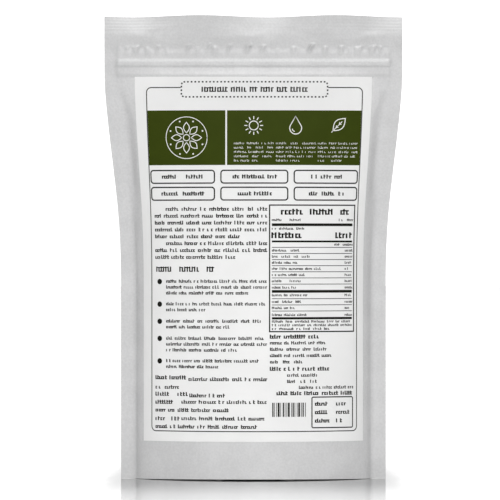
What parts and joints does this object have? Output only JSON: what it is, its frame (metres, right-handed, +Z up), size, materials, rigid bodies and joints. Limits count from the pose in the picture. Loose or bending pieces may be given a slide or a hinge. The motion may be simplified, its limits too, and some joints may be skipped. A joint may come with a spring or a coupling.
{
  "type": "stand-up zip pouch",
  "caption": "Filled stand-up pouch of silver-grey film with welded sides and top, a press-to-close zip, an opened bottom gusset and a printed paper label, holding dried long pepper spikes.",
  "frame": {"origin": "on the ground under the middle of the standing pouch", "axes": "+Z up, +X along the zip, the labelled wall faces -Y"},
  "size_m": [0.16, 0.0588, 0.248],
  "materials": {
    "laminate_film": "matte silver-grey metallised laminate",
    "zip_plastic": "milky polyethylene",
    "label_paper": "white coated paper with olive and near-black print",
    "dried_spikes": "rough dried grey-brown spikes"
  },
  "bodies": {
    "root": {"label_side_wall": "laminate_film", "plain_side_wall": "laminate_film", "bottom_gusset": "laminate_film", "zip_groove_strip": "zip_plastic", "zip_rib_strip": "zip_plastic", "information_label": "label_paper", "long_pepper_filling": "dried_spikes"}
  },
  "joints": []
}
